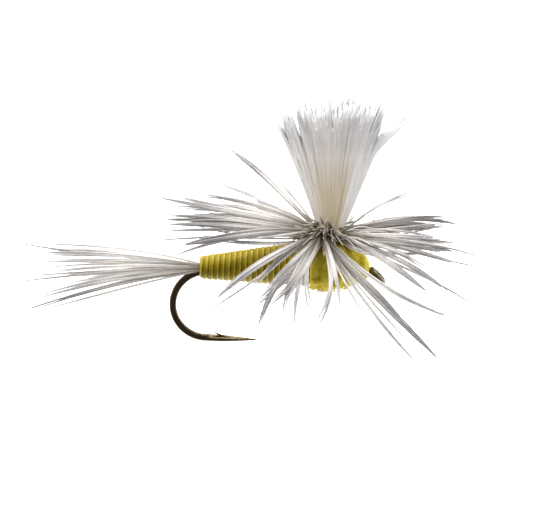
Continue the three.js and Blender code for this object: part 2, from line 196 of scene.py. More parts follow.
def new_piece(name, points, faces, material, replaced=()):
    mesh = bpy.data.meshes.new(name)
    mesh.from_pydata((np.asarray(points) * MM).tolist(), [], faces)
    mesh.polygons.foreach_set("use_smooth", [True] * len(mesh.polygons))
    mesh.update()
    piece = bpy.data.objects.new(name, mesh)
    bpy.context.scene.collection.objects.link(piece)
    mesh.materials.append(material)
    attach(piece, "root")
    if replaced:
        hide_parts(*replaced)
    return piece


def put_values(piece, name, values):
    attribute = piece.data.attributes.new(name, "FLOAT", "POINT")
    attribute.data.foreach_set("value", np.asarray(values, np.float32))


# ------------------------------------------------------------------ materials


class Nodes:
    """Short ways to lay out a node material."""

    def __init__(self, name, roughness, **sockets):
        self.material = bpy.data.materials.new(name)
        self.material.use_nodes = True
        self.tree = self.material.node_tree
        self.shader = self.tree.nodes["Principled BSDF"]
        self.shader.inputs["Roughness"].default_value = roughness
        for socket, value in sockets.items():
            self.shader.inputs[socket.replace("_", " ")].default_value = value

    def new(self, kind, **settings):
        node = self.tree.nodes.new(kind)
        for key, value in settings.items():
            setattr(node, key, value)
        return node

    def link(self, source, target):
        self.tree.links.new(source, target)

    def attribute(self, name):
        return self.new("ShaderNodeAttribute", attribute_name=name).outputs["Fac"]

    def noise(self, scale, detail=3.0, stretch=(1, 1, 1)):
        """Noise with scale features to a millimetre."""
        where = self.new("ShaderNodeTexCoord")
        sized = self.new("ShaderNodeMapping")
        sized.inputs["Scale"].default_value = [scale / MM * s for s in stretch]
        self.link(where.outputs["Object"], sized.inputs["Vector"])
        noise = self.new("ShaderNodeTexNoise")
        noise.inputs["Scale"].default_value = 1.0
        noise.inputs["Detail"].default_value = detail
        self.link(sized.outputs["Vector"], noise.inputs["Vector"])
        return noise.outputs["Fac"]

    def ramp(self, value, stops):
        """Colours by place, from (place, colour) stops in rising order."""
        node = self.new("ShaderNodeValToRGB")
        elements = node.color_ramp.elements
        for element, (place, colour) in zip(elements, stops):
            element.position = place
            element.color = (*colour, 1)
        for place, colour in stops[2:]:
            element = elements.new(place)
            element.color = (*colour, 1)
        self.link(value, node.inputs["Fac"])
        return node.outputs["Color"]

    def combine(self, kind, a, b):
        node = self.new("ShaderNodeMix", data_type="RGBA", blend_type=kind)
        self.link(a, node.inputs["A"])
        self.link(b, node.inputs["B"])
        return node

    def multiply(self, a, b):
        node = self.combine("MULTIPLY", a, b)
        node.inputs["Factor"].default_value = 1.0
        return node.outputs["Result"]

    def mix(self, factor, a, b):
        node = self.combine("MIX", a, b)
        self.link(factor, node.inputs["Factor"])
        return node.outputs["Result"]

    def colour(self, source):
        self.link(source, self.shader.inputs["Base Color"])

    def bump(self, height, distance):
        """Bumps that are distance millimetres high."""
        node = self.new("ShaderNodeBump")
        node.inputs["Distance"].default_value = distance * MM
        self.link(height, node.inputs["Height"])
        self.link(node.outputs["Normal"], self.shader.inputs["Normal"])


def soft(weight, depth):
    """Socket values of light that scatters to depth millimetres under the surface."""
    return {
        "Subsurface_Weight": weight,
        "Subsurface_Scale": depth * MM,
        "Subsurface_Radius": (1, 1, 1),
    }


def bronze_material():
    m = Nodes("bronze_lacquer", 0.24, Metallic=0.95, Coat_Weight=0.3, Coat_Roughness=0.1)
    cloud = m.noise(3.0, 4.0)
    m.colour(m.ramp(cloud, [(0.3, (0.11, 0.08, 0.04)), (0.7, (0.17, 0.13, 0.07))]))
    m.bump(m.noise(14.0, 2.0), 0.004)
    return m.material


def barb_material(name, root, near, pale, tip):
    """Feather barb: dark at the quill, pale through its middle and greyer to the tip."""
    m = Nodes(name, 0.38, **soft(0.7, 0.3))
    places = (0.0, 0.05, 0.13, 0.36, 0.55, 0.72, 1.0)
    colours = (root, root, near, pale, pale, tip, tip)
    body = m.ramp(m.attribute("along"), list(zip(places, colours)))
    # shade holds each strand's own tone and, on a clump's outer filaments, painted shade
    shades = [(0.0, (0.3, 0.285, 0.27)), (0.6, (0.85, 0.84, 0.83)), (1.0, (1, 1, 1))]
    streaked = m.multiply(body, m.ramp(m.attribute("shade"), shades))
    mottle = m.ramp(m.noise(5.0), [(0.3, (0.86, 0.85, 0.84)), (0.7, (1.0, 1.0, 1.0))])
    m.colour(m.multiply(streaked, mottle))
    return m.material


def quill_wrap_material():
    """The dyed yellow strip, with painted shade, olive, in the grooves between its turns and a painted
    highlight on the proud front edge of each turn.
    """
    m = Nodes("dyed_quill_painted_shade", 0.45, Specular_IOR_Level=0.25)
    # painted light of the ribs, by along: painted shade in the grooves at 0, rising to a painted highlight
    # on the proud edges at 1
    stops = [
        (0.0, (0.17, 0.11, 0.001)),
        (0.25, (0.54, 0.4, 0.003)),
        (0.6, (0.7, 0.55, 0.015)),
        (1.0, (0.92, 0.78, 0.13)),
    ]
    base = m.ramp(m.attribute("along"), stops)
    mottle = m.ramp(m.noise(3.5, 4.0), [(0.3, (0.76, 0.73, 0.6)), (0.65, (1.0, 1.0, 1.0))])
    m.colour(m.multiply(base, mottle))
    m.bump(m.noise(9.0, 3.0, (0.3, 1, 1)), 0.012)
    return m.material


def dubbing_material():
    m = Nodes("yellow_dubbing", 0.7, Specular_IOR_Level=0.2)
    stops = [(0.3, (0.52, 0.38, 0.006)), (0.5, (0.86, 0.7, 0.04)), (0.7, (0.94, 0.83, 0.2))]
    m.colour(m.ramp(m.noise(2.2, 5.0), stops))
    m.bump(m.noise(7.0, 4.0), 0.06)
    return m.material


def thread_material():
    m = Nodes("yellow_thread", 0.55)
    stops = [(0.3, (0.42, 0.32, 0.04)), (0.7, (0.68, 0.56, 0.14))]
    m.colour(m.ramp(m.noise(12.0, 2.0), stops))
    m.bump(m.noise(30.0, 2.0), 0.01)
    return m.material


def floss_material():
    m = Nodes("yellow_floss", 0.5, Sheen_Weight=0.4)
    silk = m.noise(3.0, 3.0, (1, 6, 6))
    m.colour(m.ramp(silk, [(0.3, (0.62, 0.5, 0.12)), (0.7, (0.8, 0.7, 0.28))]))
    m.bump(silk, 0.02)
    return m.material


def stem_material(name, root, tip):
    m = Nodes(name, 0.6)
    body = m.ramp(m.attribute("along"), [(0.0, root), (0.75, tip)])
    shade = m.ramp(m.attribute("shade"), [(0.0, (0.6, 0.58, 0.55)), (1.0, (1.0, 1.0, 1.0))])
    m.colour(m.multiply(body, shade))
    return m.material


def post_material():
    """White hair with painted shade: tan where it is thick, in the core of the post's lower part, and grey
    at its tips."""
    m = Nodes("white_hair", 0.5, **soft(1.0, 0.45))
    along = m.attribute("along")
    # painted shade: tan in the thick core, grey towards the tips
    core_stops = [
        (0.0, (0.34, 0.27, 0.15)),
        (0.35, (0.48, 0.4, 0.275)),
        (0.6, (0.62, 0.56, 0.5)),
        (0.76, (0.52, 0.5, 0.49)),
        (0.87, (0.25, 0.24, 0.235)),
    ]
    edge_stops = [
        (0.0, (0.5, 0.45, 0.38)),
        (0.3, (0.72, 0.69, 0.67)),
        (0.6, (0.74, 0.715, 0.705)),
        (0.76, (0.54, 0.525, 0.525)),
        (0.87, (0.25, 0.245, 0.245)),
    ]
    core = m.ramp(along, core_stops)
    edge = m.ramp(along, edge_stops)
    m.colour(m.mix(m.attribute("shade"), core, edge))
    return m.material


BRONZE = bronze_material()
TAIL = barb_material(
    "dun_tail",
    root=(0.56, 0.5, 0.42),
    near=(0.68, 0.63, 0.57),
    pale=(0.85, 0.82, 0.79),
    tip=(0.5, 0.485, 0.48),
)
HACKLE = barb_material(
    "dun_hackle",
    root=(0.09, 0.07, 0.035),
    near=(0.27, 0.23, 0.175),
    pale=(0.68, 0.65, 0.63),
    tip=(0.35, 0.34, 0.34),
)
STEM = stem_material("brown_quill", (0.06, 0.045, 0.025), (0.12, 0.09, 0.05))
QUILL = quill_wrap_material()
DUBBING = dubbing_material()
THREAD = thread_material()
FLOSS = floss_material()
POST_HAIR = post_material()


# ------------------------------------------------------------------ hook

WIRE_RADIUS = 0.25
SHANK_FRONT_X = -0.45
BEND_X = -11.44
BEND_RADIUS = 2.3
BEND_BOTTOM = SHANK_Z - 2 * BEND_RADIUS
POINT_X = -8.05
POINT_DROP = 0.16
POINT_TAPER = 2.4
SPEAR_RINGS = 25
WIRE_SIDES = 28
# the bend's wire is forged flatter from FORGED_X backwards
FORGED_X = -12.0
FORGED_BY = 0.05
EYE_RADIUS = 0.57
EYE_WIRE_RADIUS = 0.2
EYE_DROOP = math.radians(48)
# x and height over the spear's upper side of the points that the barb runs through
BARB_POINTS = [(-9.9, -0.32), (-10.45, -0.12), (-10.85, 0.08), (-11.2, 0.38)]


def hook_axis():
    """The wire's axis along the shank, round the bend and out to the point."""
    shank = [(x, 0, SHANK_Z) for x in np.linspace(SHANK_FRONT_X, BEND_X, 24)[:-1]]
    bend = [
        (BEND_X - BEND_RADIUS * math.sin(a), 0, BEND_BOTTOM + BEND_RADIUS * (1 + math.cos(a)))
        for a in np.linspace(0, math.pi, 48)
    ]
    spear = [
        (x, 0, BEND_BOTTOM - POINT_DROP * (x - BEND_X) / (POINT_X - BEND_X))
        for x in np.linspace(BEND_X, POINT_X, SPEAR_RINGS + 1)[1:]
    ]
    return np.array(shank + bend + spear)


def hook_wire(batch):
    axis = hook_axis()
    steps = np.linalg.norm(np.diff(axis, axis=0), axis=1)
    length = np.concatenate([[0], np.cumsum(steps)])
    ahead = np.clip((length[-1] - length) / POINT_TAPER, 0, 1)
    radii = WIRE_RADIUS * np.sqrt(np.maximum(ahead, 0.0008)) * (0.7 + 0.3 * ahead)
    batch.strand(axis, radii, sides=WIRE_SIDES)
    points = batch.points[0].reshape(len(axis), WIRE_SIDES, 3)
    forged = np.clip((FORGED_X - axis[:, 0]) / 0.8, 0, 1)
    limit = WIRE_RADIUS - forged * FORGED_BY
    points[:, :, 1] = np.clip(points[:, :, 1], -limit[:, None], limit[:, None])
    # a ground facet along the near upper side of the spear
    facet = np.array([0, -0.5, 0.87])
    for i in range(len(axis) - SPEAR_RINGS, len(axis)):
        if axis[i, 0] < POINT_X - 0.3:
            proud = (points[i] - axis[i]) @ facet - 0.55 * radii[i]
            points[i] -= np.clip(proud, 0, None)[:, None] * facet


def hook():
    batch = Batch()
    hook_wire(batch)
    turns = np.linspace(0, 2 * math.pi, 49)[:, None]
    down_forward = np.array([math.cos(EYE_DROOP), 0, -math.sin(EYE_DROOP)])
    eye = EYE_RADIUS * (np.cos(turns) * down_forward + np.sin(turns) * np.array([0, 1, 0]))
    batch.strand(eye, EYE_WIRE_RADIUS, sides=18)
    spear_top = BEND_BOTTOM + WIRE_RADIUS
    barb = bent([(x, 0, spear_top + height) for x, height in BARB_POINTS], 18)
    batch.strand(barb, np.linspace(0.13, 0.006, 18), sides=10, squash=0.8)
    return batch.build("hook_wire", BRONZE, ["hook"])


# ------------------------------------------------------------------ body

ABDOMEN_START = -11.9
ABDOMEN_LENGTH = 7.42
ABDOMEN_RADII = (0.78, 1.52)
STRIP_TURNS = 20
RINGS_PER_TURN = 14
THORAX_RADIUS = 1.64
THORAX_END_RADIUS = 0.3
THORAX_LUMPS = 60
FUZZ_FIBRES = 700


def abdomen_line(x):
    """Height of the abdomen's axis and its radius at the place x along the shank."""
    t = (x - ABDOMEN_START) / ABDOMEN_LENGTH
    swell = math.sin(t * math.pi * 0.5) * 0.35 + t * 0.65
    rear, front = ABDOMEN_RADII
    return 0.59 + 0.25 * t, rear + (front - rear) * swell


def abdomen():
    """The ribbed sleeve that the strip makes: each turn is crowned and its front edge
    stands a little proud of the next turn."""
    rows, columns = STRIP_TURNS * RINGS_PER_TURN, 112
    rear, front = ABDOMEN_REAR + 0.02, ABDOMEN_FRONT
    rng = np.random.default_rng(4)
    wobble = rng.normal(0, 0.012, STRIP_TURNS + 3)
    angles = circle(columns)
    points = np.zeros((rows, columns, 3))
    painted_ridge_light = np.zeros((rows, columns))
    for i, x in enumerate(np.linspace(rear, front, rows)):
        height, radius = abdomen_line(x)
        turn, place = np.divmod(i / rows * STRIP_TURNS + angles / (2 * math.pi), 1)
        crown = np.sin(place * math.pi) ** 0.6
        lip = np.exp(-(((place - 0.8) / 0.13) ** 2))
        r = radius - 0.1 + 0.08 * crown + 0.04 * lip + wobble[turn.astype(int)] * crown
        rear_close = 0.12 * (1 - smoothstep(0, 0.08, x - rear))
        front_close = 0.12 * smoothstep(front - 0.25, front, x)
        r = r * (1 - rear_close - front_close)
        points[i, :, 0] = x
        points[i, :, 1] = r * np.cos(angles)
        points[i, :, 2] = height + r * np.sin(angles)
        # painted light of the ribs: darkest in the grooves, brightest on each turn's proud front edge
        painted_ridge_light[i] = np.clip(lip + 0.25 * crown, 0, 1)
    faces = grid_faces(rows, columns)
    points = points.reshape(-1, 3)
    piece = new_piece("abdomen_quill", points, faces, QUILL, ["abdomen_wrap"])
    put_values(piece, "along", painted_ridge_light.reshape(-1))
    return piece


def thorax_line(t):
    """Height of the thorax's axis and its radius, from its rear, 0, to its front, 1."""
    fall = (max(0.0, t - 0.3) / 0.7) ** 1.3
    swell = math.sqrt(max(0.0, 1 - fall))
    return 0.81 - 0.25 * t, THORAX_END_RADIUS + (THORAX_RADIUS - THORAX_END_RADIUS) * swell


def thorax():
    """Dubbed fur: soft rings where it was wound, and lumps."""
    rng = random.Random(7)
    rows, columns = 90, 96
    rear, front = THORAX_REAR - 0.1, THORAX_FRONT + 0.4
    lumps = [
        (rng.uniform(0, 1), rng.uniform(0, 2 * math.pi), rng.uniform(0.05, 0.12))
        for _ in range(THORAX_LUMPS)
    ]
    points = np.zeros((rows, columns, 3))
    angles = circle(columns)
    for i in range(rows):
        t = i / (rows - 1)
        height, radius = thorax_line(t)
        fullness = radius / THORAX_RADIUS
        r = np.full(columns, radius)
        r += 0.09 * math.sin(t * 9 * math.pi) * fullness
        for place, angle, size in lumps:
            away = ((t - place) / 0.09) ** 2
            turn = np.abs((angles - angle + math.pi) % (2 * math.pi) - math.pi) / 0.5
            r += size * 0.6 * np.exp(-away - turn**2) * fullness
        points[i, :, 0] = rear + (front - rear) * t
        points[i, :, 1] = r * np.cos(angles)
        points[i, :, 2] = height + r * np.sin(angles)
    faces = grid_faces(rows, columns)
    points = points.reshape(-1, 3)
    return new_piece("thorax_fur", points, faces, DUBBING, ["thorax_dubbing"])


def thorax_fuzz():
    """Fibres of fur that arch out of the thorax and lie down again."""
    rng = random.Random(11)
    batch = Batch()
    for _ in range(FUZZ_FIBRES):
        t = rng.uniform(0.02, 0.93)
        height, radius = thorax_line(t)
        angle = rng.uniform(0, 2 * math.pi)
        normal = np.array([0, math.cos(angle), math.sin(angle)])
        around = np.array([0, -math.sin(angle), math.cos(angle)])
        x = THORAX_REAR + (THORAX_FRONT - THORAX_REAR) * t
        root = np.array([x, 0, height]) + normal * (radius - 0.03)
        length = rng.uniform(0.3, 0.9)
        lean = around * rng.uniform(-1, 1) + np.array([rng.uniform(-1, 1), 0, 0])
        path = [
            root + lean * length * s + normal * (0.28 * length * math.sin(s * math.pi * 0.8))
            for s in np.linspace(0, 1, 6)
        ]
        batch.strand(path, np.linspace(0.028, 0.01, 6), sides=4, shade=rng.random())
    return batch.build("thorax_fuzz", DUBBING)


def wraps(name, turns, start, end, radii, thread_radius, material, replaced):
    """Thread wound side by side between two points, from one of the radii to the other."""
    batch = Batch()
    start, end = np.array(start, float), np.array(end, float)
    axis = unit(end - start)
    side = unit(np.cross(axis, [0, 1, 0]))
    other = np.cross(axis, side)
    path = []
    for t in np.linspace(0, 1, turns * 22 + 1):
        a = t * turns * 2 * math.pi
        r = radii[0] + (radii[1] - radii[0]) * t
        path.append(start + (end - start) * t + side * r * math.cos(a) + other * r * math.sin(a))
    batch.strand(path, thread_radius, sides=8, shade=0.6)
    return batch.build(name, material, replaced)


# ------------------------------------------------------------------ tail

SINGLE_BARB_RADIUS = 0.085


def clump(batch, rng, root, tip, bow, filaments, width, radius, forked=0.5):
    """Barbs that cling together side by side. bow is how far the middle stands to the left
    of the straight line, as the camera sees it. forked is how far they part at the tips,
    from 0, where they meet like a leaf, to 1."""
    root, tip = np.asarray(root, float), np.asarray(tip, float)
    chord = (tip - root) * 1.05
    across = unit(np.cross(chord, VIEW))
    deep = unit(np.cross(chord, across))
    s = np.linspace(0, 1, 14)
    leaf = 0.25 + 0.75 * np.sin(s**1.3 * math.pi) ** 0.8
    fork = 0.25 + 0.85 * s
    spread = width * (leaf * (1 - forked) + fork * forked)
    bowed = bow * 4 * s * (1 - s)
    wave = rng.uniform(-0.06, 0.06)
    tone = rng.uniform(0.35, 1.0) if filaments > 1 else rng.uniform(0.15, 0.5)
    bluntness = 10 if filaments > 1 else 5
    for i in range(filaments):
        place = 0 if filaments == 1 else 2 * i / (filaments - 1) - 1
        depth = rng.uniform(-0.6, 0.6)
        reach = 1 - abs(place) * rng.uniform(0.3, 1) * (0.04 + 0.16 * forked)
        sideways = bowed + place * spread + wave * np.sin(s * 2 * math.pi)
        path = root + chord * (s * reach)[:, None] + across * sideways[:, None]
        path = path + deep * (depth * spread)[:, None]
        radii = radius * (0.8 + 0.2 * np.sin(s * math.pi)) * (1 - 0.65 * s**bluntness)
        # painted shade: the outer filaments of a clump are darker, along its edges
        edge = abs(place) ** 2 * 0.4 if filaments > 2 else 0
        shade = min(1.0, max(0.0, tone - edge + rng.uniform(-0.15, 0.1)))
        batch.strand(path, radii, sides=6, shade=shade)


# length, sideways and upward reach of each lock of the tail, how far it bows, how many
# filaments it has and its half width, in millimetres
TAIL_LOCKS = [
    (10.6, 1.2, 1.25, -0.4, 1, 0.0), (11.7, -0.6, 1.8, 0.1, 1, 0.0), (10.6, 0.6, 1.0, -0.3, 2, 0.05),
    (10.3, -1.6, 1.3, -0.3, 3, 0.08), (10.2, 1.9, 0.4, -0.25, 2, 0.06), (9.6, -0.9, 0.75, -0.2, 2, 0.06),
    (10.4, 0.2, 0.8, -0.3, 2, 0.06), (11.3, 0.2, 0.25, -0.1, 1, 0.0), (10.5, 1.5, -0.5, -0.25, 1, 0.0),
    (10.6, -1.3, -0.05, -0.25, 2, 0.06), (11.0, 0.9, -0.8, -0.1, 1, 0.0), (9.9, -0.4, -0.4, 0.0, 2, 0.06),
    (11.4, -1.9, -0.5, -0.2, 1, 0.0), (8.1, 0.0, -0.7, -0.1, 2, 0.05), (11.1, 1.7, -2.7, -0.3, 1, 0.0),
    (10.6, 0.3, -1.95, -0.35, 2, 0.06), (10.2, -1.1, -1.8, -0.3, 1, 0.0), (11.7, -0.7, -2.9, -0.35, 3, 0.07),
    (10.4, 1.1, -2.75, -0.3, 2, 0.06), (9.7, -1.5, -2.4, -0.1, 1, 0.0),
    (9.0, 0.6, -1.3, -0.25, 2, 0.06), (6.5, -0.3, -0.9, -0.1, 2, 0.06), (7.0, 0.4, 0.2, -0.1, 2, 0.06),
]  # fmt: skip


def tail():
    rng = random.Random(3)
    batch = Batch()
    root = np.array([ABDOMEN_REAR + 0.3, 0, SHANK_Z + 0.3])
    for length, side, rise, bow, filaments, width in TAIL_LOCKS:
        start = root + np.array([0, 0.12 * side, 0.07 * rise + 0.02])
        tip = root + np.array([-length * 1.04, side, rise])
        radius = SINGLE_BARB_RADIUS if filaments == 1 else 0.066
        clump(batch, rng, start, tip, bow, filaments, width, radius)
    names = [n for n in frame["nodes"] if n.startswith("tail_fibre")]
    return batch.build("tail_barbs", TAIL, names)


# ------------------------------------------------------------------ wing post

# across and height of the pointed locks that show in outline, on the fan's own scale
POST_TIPS = [
    (-0.97, 7.3), (-0.88, 7.0), (-0.79, 8.0), (-0.72, 7.6), (-0.54, 8.4), (-0.45, 8.7), (-0.37, 8.5),
    (-0.25, 8.3), (-0.17, 8.2), (-0.07, 8.95), (0.03, 8.0), (0.09, 8.2), (0.16, 8.6), (0.24, 8.7),
    (0.32, 8.75), (0.41, 8.5), (0.52, 8.1), (0.6, 8.2), (0.72, 8.7), (0.8, 8.1), (0.94, 7.9),
]  # fmt: skip
POST_X = -3.05
POST_Z = 3.4
POST_LEAN = math.radians(9.5)
POST_FOOT_HEIGHT = -0.8
POST_HAIR_LENGTH = 9.6
POST_RADIUS = 0.9
# size, depth and unevenness of the nested walls of hair, from the outermost inwards
POST_SHELLS = [(1.0, 1.0, 0.35), (0.96, 0.7, 0.1), (0.9, 0.4, 0.35)]
SHELL_HALF_THICKNESS = 0.05
LOOSE_HAIRS = 260
INNER_HAIRS = 560


def post_half_width(height):
    return POST_RADIUS + (0.335 * height + 0.01 * height**2 if height > 0 else 0.2 * height)


def post_flatness(height):
    """The fan's depth as a share of its width: round at the foot and flatter above."""
    return 0.5 + 0.4 * math.exp(-0.5 * max(0.0, height))


def post_place(across, depth, height):
    """A place inside the fan of hair: across and depth run from -1 to 1."""
    half = post_half_width(height)
    lean = -0.15 if height < 0 else -0.15 * math.exp(-height)
    splay = 1.5 * smoothstep(0.86, 0.92, across) * smoothstep(4.6, 8.2, height)
    round_off = math.sqrt(max(0.0, 1 - min(1.0, abs(across)) ** 2))
    x = POST_X + lean + across * half + splay
    return np.array([x, depth * half * post_flatness(height) * round_off, POST_Z + height])


def post_tone(across):
    """White along the sides, most of all the front one, and tan, painted shade of the thick hair, in the
    middle.
    """
    if across > 0:
        return float(smoothstep(0.35, 0.62, across))
    return 0.6 * float(smoothstep(0.3, 0.8, -across))


def post_edge(across, tips):
    """Height of a wall's upper edge, where its locks part into points."""
    height = 7.0 - 1.3 * float(smoothstep(0.5, 0.66, abs(across)))
    for place, top, half_width in tips:
        height = max(height, top - 2.3 * (abs(across - place) / half_width) ** 1.3)
    return height


def streaks(rng, count):
    """Fine and broad differences of tone from hair to hair, round the fan."""
    fine = np.convolve(rng.normal(0, 0.12, count), [0.3, 0.4, 0.3], "same")
    return fine + np.convolve(rng.normal(0, 0.3, count), np.ones(15) / 15, "same")


def uneven_tips(rng, unevenness):
    """The locks of one side of a wall: place, height and half width of each."""
    tips = []
    for place, top in POST_TIPS:
        reach = top + 0.25 - unevenness * rng.uniform(0, 1.2)
        tips.append((place + rng.normal(0, 0.008), reach, rng.uniform(0.05, 0.075)))
    return tips


def shell_faces(rows, columns):
    """Faces of a wall that runs all the way round: both its sides and both its rims."""
    faces = []
    inner = rows * columns
    top = (rows - 1) * columns
    for j in range(columns):
        k = (j + 1) % columns
        for i in range(rows - 1):
            a, b = i * columns, (i + 1) * columns
            faces.append((a + j, a + k, b + k, b + j))
            faces.append((inner + a + j, inner + b + j, inner + b + k, inner + a + k))
        faces.append((top + j, top + k, inner + top + k, inner + top + j))
        faces.append((j, inner + j, inner + k, k))
    return faces


def hair_shell(batch, rng, size, depth, near_tips, far_tips):
    """A thin wall of hair right round the fan, from the wraps to its pointed locks."""
    rows, columns = 36, 520
    flutes = np.convolve(rng.normal(0, 0.035, columns), [0.25, 0.5, 0.25], "same")
    tones = streaks(rng, columns)
    outside = np.zeros((rows, columns, 3))
    inside = np.zeros((rows, columns, 3))
    along = np.zeros((rows, columns))
    shade = np.zeros((rows, columns))
    for j, turn in enumerate(circle(columns)):
        across = size * math.cos(turn)
        edge = post_edge(across, near_tips if turn > math.pi else far_tips)
        shade[:, j] = min(1.0, max(0.0, post_tone(across) + tones[j]))
        for i, t in enumerate(np.linspace(0, 1, rows)):
            height = POST_FOOT_HEIGHT + (edge - POST_FOOT_HEIGHT) * t
            flat = post_flatness(height)
            outward = unit(np.array([depth * flat * math.cos(turn), size * math.sin(turn), 0]))
            wall = post_place(across, 0, height)
            wall[1] = depth * flat * post_half_width(height) * math.sin(turn)
            wall += outward * flutes[j] * smoothstep(0, 0.5, t)
            half = SHELL_HALF_THICKNESS * (1 - t**6) + 0.004
            outside[i, j] = wall + outward * half
            inside[i, j] = wall - outward * half
            along[i, j] = (height - POST_FOOT_HEIGHT) / POST_HAIR_LENGTH
    points = np.concatenate([outside.reshape(-1, 3), inside.reshape(-1, 3)])
    faces = shell_faces(rows, columns)
    batch.add(points, faces, np.tile(along.reshape(-1), 2), np.tile(shade.reshape(-1), 2))


def wing_core(batch):
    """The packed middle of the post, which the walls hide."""
    rows, columns = 30, 48
    points = np.zeros((rows, columns, 3))
    along = np.zeros((rows, columns))
    for i in range(rows):
        t = i / (rows - 1)
        closing = math.sqrt(1 - t**6) + 0.02
        height = POST_FOOT_HEIGHT + 5.6 * t
        for j, turn in enumerate(circle(columns)):
            points[i, j] = post_place(0, 0.28 * closing * math.sin(turn), height)
            points[i, j, 0] += 0.65 * closing * math.cos(turn) * post_half_width(height)
        along[i] = (height - POST_FOOT_HEIGHT) / POST_HAIR_LENGTH
    shade = np.zeros(rows * columns)
    batch.add(points.reshape(-1, 3), grid_faces(rows, columns), along.reshape(-1), shade)


def wing_hair():
    """The post's hair: a packed middle inside nested walls that fan out upwards."""
    rng = np.random.default_rng(2)
    batch = Batch()
    wing_core(batch)
    for size, depth, unevenness in POST_SHELLS:
        near_tips = uneven_tips(rng, unevenness)
        far_tips = uneven_tips(rng, unevenness)
        hair_shell(batch, rng, size, depth, near_tips, far_tips)
    return batch.build("wing_post_hair", POST_HAIR, ["wing_post"])


def post_path(across, depth, foot, top, count, tip_across):
    """A path inside the fan from one height to another that ends off to the side."""
    path = []
    for t in np.linspace(0, 1, count):
        place = across + (tip_across - across) * float(smoothstep(0.3, 1.0, t))
        path.append(post_place(place, depth, foot + (top - foot) * t))
    return path


def nearest_top(across):
    return min(POST_TIPS, key=lambda tip: abs(tip[0] - across))[1]


def wing_tips():
    """Single hairs: loose ones that stand out of the fan, and ones that fill it, which
    show between its locks and from above. The fill leaves the gap in the fan's rear half."""
    rng = random.Random(21)
    batch = Batch()
    for _ in range(LOOSE_HAIRS):
        across = rng.uniform(-0.99, 0.9)
        depth = rng.uniform(-1.1, 1.1)
        top = nearest_top(across) - rng.uniform(-0.1, 2.0)
        tip_across = across + rng.gauss(0, 0.035)
        path = post_path(across, depth, rng.uniform(2.5, 5.0), top, 9, tip_across)
        shade = min(1.0, post_tone(across) + rng.uniform(0, 0.5))
        batch.strand(path, np.linspace(0.04, 0.018, 9), shade=shade, span=(0.55, 1.0))
    for _ in range(INNER_HAIRS):
        places = (rng.uniform(-0.9, -0.7), rng.uniform(-0.55, 0.84), rng.uniform(-0.55, 0.84))
        across = rng.choice(places)
        top = nearest_top(across) - rng.uniform(0.4, 1.8)
        tip_across = across + rng.gauss(0, 0.02)
        path = post_path(across, rng.uniform(-0.8, 0.8), 3.0, top, 5, tip_across)
        radii = np.linspace(0.06, 0.022, 5)
        batch.strand(path, radii, sides=4, shade=post_tone(across), span=(0.5, 1.0))
        batch.along[-1] = np.minimum(batch.along[-1], 0.8)
    return batch.build("wing_post_tips", POST_HAIR)


# ------------------------------------------------------------------ hackle


def on_post(x, height):
    """A place by the hub, on the post's leaning axis or x in front of it."""
    c, s = math.cos(POST_LEAN), math.sin(POST_LEAN)
    return HUB + np.array([x * c + height * s, 0, -x * s + height * c])


def heading(azimuth, rise):
    """A direction: azimuth 0 points forward and 90 to the far side, in degrees."""
    a, e = math.radians(azimuth), math.radians(rise)
    return np.array([math.cos(a) * math.cos(e), math.sin(a) * math.cos(e), math.sin(e)])


REAR_ROOT = HUB + (-0.7, -0.1, 0.2)
NEAR_ROOT = HUB + (-0.6, -0.85, 0.3)
FRONT_ROOT = HUB + (0.78, 0.0, -0.12)

# azimuth, rise, length, bow, filaments and half width of the barbs that show singly
REAR_BARBS = [
    (131, 25, 9.6, -0.2, 3, 0.13), (112, 16, 7.0, -0.2, 1, 0.0), (135, 11, 9.4, -0.35, 2, 0.05),
    (121, 4, 8.6, -0.25, 2, 0.05), (147, 8, 10.2, -0.5, 2, 0.05), (137, 6, 9.6, -0.4, 3, 0.1),
    (143, 3, 9.8, -0.35, 5, 0.2), (163, 10, 10.2, -0.15, 2, 0.06), (166, 9, 10.8, -0.15, 3, 0.09),
    (163, 6, 10.0, -0.4, 3, 0.1), (152, 1, 9.2, -0.25, 4, 0.14), (-173, 8, 10.3, -0.15, 3, 0.09),
    (-175, 6, 10.1, -0.2, 3, 0.09), (-162, 7, 10.0, -0.1, 4, 0.13), (-165, 4, 9.9, -0.15, 2, 0.05),
    (-150, 2, 9.8, -0.35, 5, 0.2), (-167, 0, 10.9, 0.0, 1, 0.0), (-155, -3, 10.2, -0.45, 2, 0.06),
    (-122, 8, 8.5, 0.0, 1, 0.0),
]  # fmt: skip
NEAR_BARBS = [
    (-134, -15, 9.6, -0.4, 4, 0.16), (-140, -21, 10.0, 0.1, 1, 0.0), (-117, -15, 9.4, 0.2, 3, 0.12),
    (-118, -26, 9.3, -0.45, 4, 0.14), (-113, -10, 9.0, 0.0, 2, 0.06), (-112, -17, 9.0, 0.4, 3, 0.12),
    (-107, -21, 9.0, -0.3, 3, 0.12), (-105, -15, 8.8, 0.15, 2, 0.05), (-102, -24, 9.2, -0.4, 2, 0.08),
    (-95, -23, 9.0, -0.55, 2, 0.07), (-92, -23, 9.0, 0.8, 2, 0.05), (-91, -26, 9.2, 0.65, 2, 0.06),
    (-82, -19, 8.4, 0.2, 2, 0.06), (-72, -22, 9.0, -0.1, 1, 0.0), (-25, -42, 10.9, -0.15, 4, 0.14),
    (-53, -26, 9.6, 0.0, 3, 0.12), (-50, -33, 10.0, -0.25, 1, 0.0), (-43, -41, 10.9, -0.25, 2, 0.05),
    (-37, -22, 10.4, -0.65, 3, 0.08),
]  # fmt: skip
